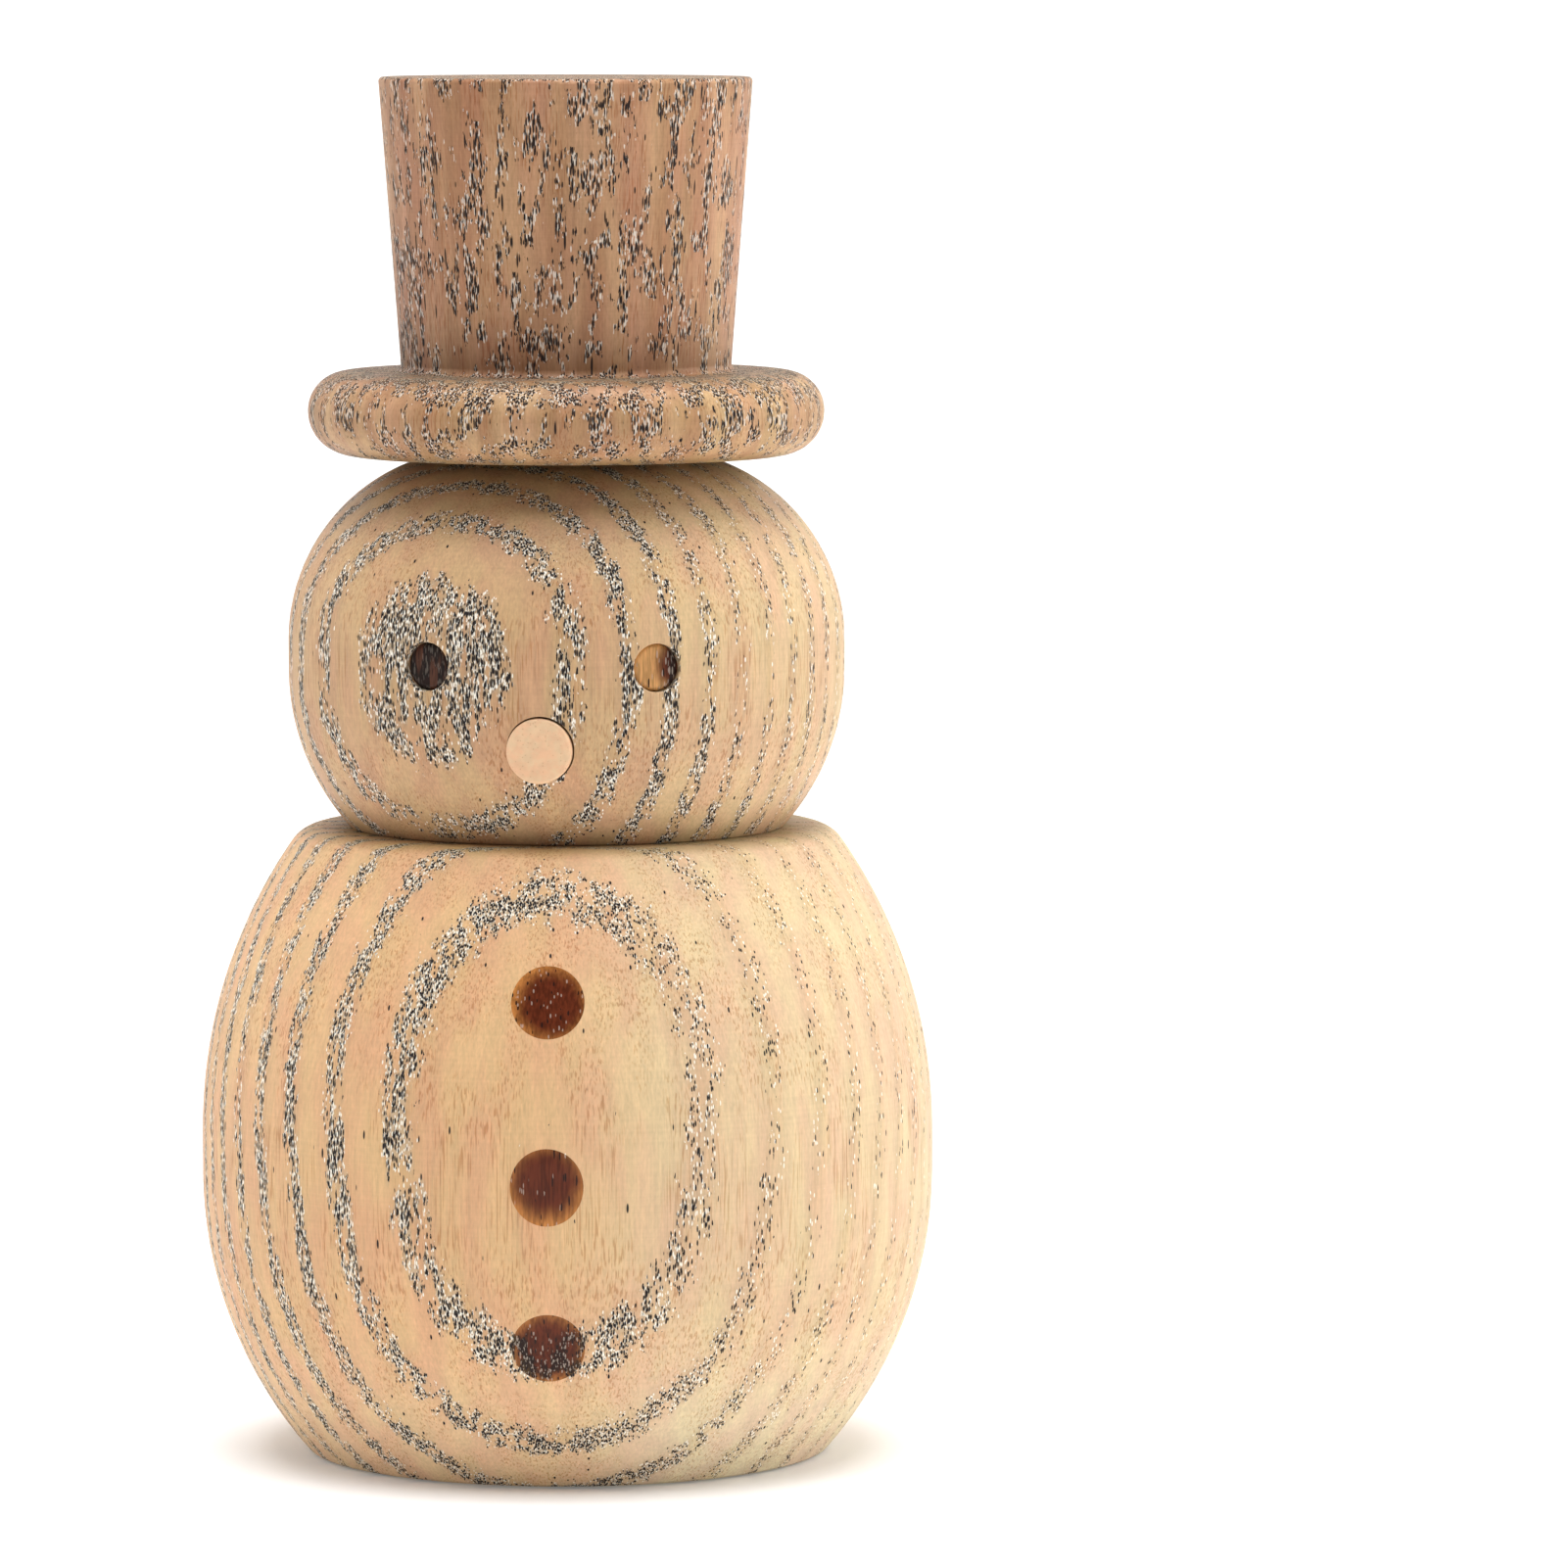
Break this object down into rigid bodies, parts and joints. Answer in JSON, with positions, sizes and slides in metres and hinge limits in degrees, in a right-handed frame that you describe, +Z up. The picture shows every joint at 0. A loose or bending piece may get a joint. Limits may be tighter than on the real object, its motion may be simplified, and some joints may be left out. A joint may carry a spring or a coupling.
{
  "type": "wooden snowman figure",
  "caption": "Turned wooden snowman: barrel body, round head that turns on a dowel, lift-off top hat, lacquered eyes and buttons, and a self-adhesive disc under the foot.",
  "frame": {"origin": "middle of the underside, on the face that the figure stands on", "axes": "+Z up the turning axis, -Y towards the buttons, +X to the right of somebody who looks at the buttons"},
  "size_m": [0.048, 0.048, 0.09],
  "materials": {
    "body_wood": "fine-turned pale ash, oiled matt",
    "head_wood": "fine-turned tan ash, oiled matt",
    "hat_wood": "fine-turned brown hardwood with short dark pores, oiled matt",
    "dowel_wood": "plain beech rod",
    "nose_wood": "sanded end grain of a beech dowel",
    "brown_lacquer": "thick glossy amber-brown lacquer",
    "adhesive_foam": "thin tacky foam",
    "release_paper": "smooth grey coated paper"
  },
  "bodies": {
    "body": {"body": "body_wood", "neck_dowel": "dowel_wood", "button_top": "brown_lacquer", "button_middle": "brown_lacquer", "button_bottom": "brown_lacquer", "adhesive_pad": "adhesive_foam", "release_liner": "release_paper"},
    "head": {"head": "head_wood", "eye_left": "brown_lacquer", "eye_right": "brown_lacquer", "nose_dowel": "nose_wood"},
    "hat": {"hat": "hat_wood", "hat_dowel": "dowel_wood"}
  },
  "joints": [
    {"name": "head_turn", "type": "hinge", "parent": "body", "child": "head", "pos_m": [0, 0, 0.0411], "axis": [0, 0, 1], "continuous": true},
    {"name": "hat_lift", "type": "slide", "parent": "head", "child": "hat", "axis": [0, 0, 1], "range_m": [0, 0.012]}
  ]
}
